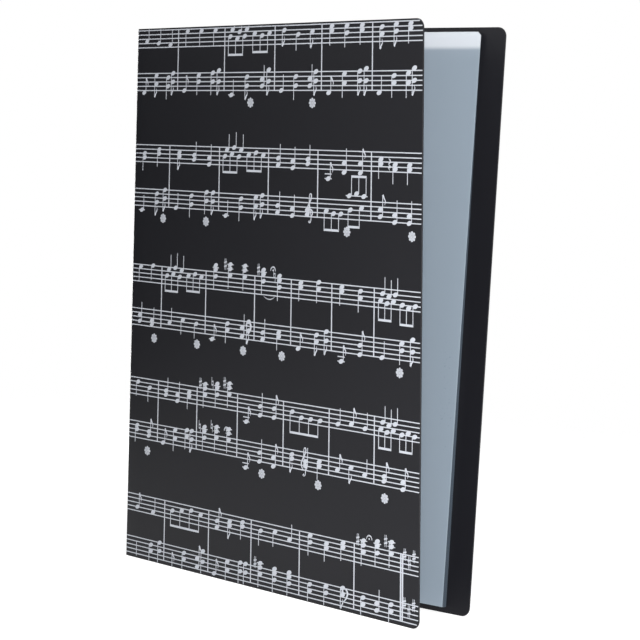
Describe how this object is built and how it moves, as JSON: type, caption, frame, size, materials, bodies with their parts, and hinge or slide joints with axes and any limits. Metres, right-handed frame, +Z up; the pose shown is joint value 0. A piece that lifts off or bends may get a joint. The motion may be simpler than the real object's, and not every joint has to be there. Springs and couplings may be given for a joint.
{
  "type": "music folder",
  "caption": "A4 music folder: a creased plastic cover, printed with staff lines, around a stack of clear pockets, standing open on its lower edges.",
  "frame": {"origin": "middle of the spine's lower edge, on the surface that the folder stands on", "axes": "+Z up along the spine, +X along the back cover from the spine to its free edge, +Y out of the back cover"},
  "size_m": [0.2384, 0.0701, 0.31],
  "materials": {
    "cover_plastic": "fine matte grain, charcoal",
    "pocket_film": "clear film that reads pale grey in a stack"
  },
  "bodies": {
    "back_half": {"back_cover": "cover_plastic", "pockets": "pocket_film"},
    "spine_strip": {"spine": "cover_plastic"},
    "front_half": {"front_cover": "cover_plastic"}
  },
  "joints": [
    {"name": "rear_crease", "type": "hinge", "parent": "back_half", "child": "spine_strip", "pos_m": [0, 0.007, 0], "axis": [0, 0, -1], "range_deg": [0, 90]},
    {"name": "front_crease", "type": "hinge", "parent": "spine_strip", "child": "front_half", "pos_m": [0, -0.007, 0], "axis": [0, 0, -1], "range_deg": [-9.3, 79.8]}
  ]
}
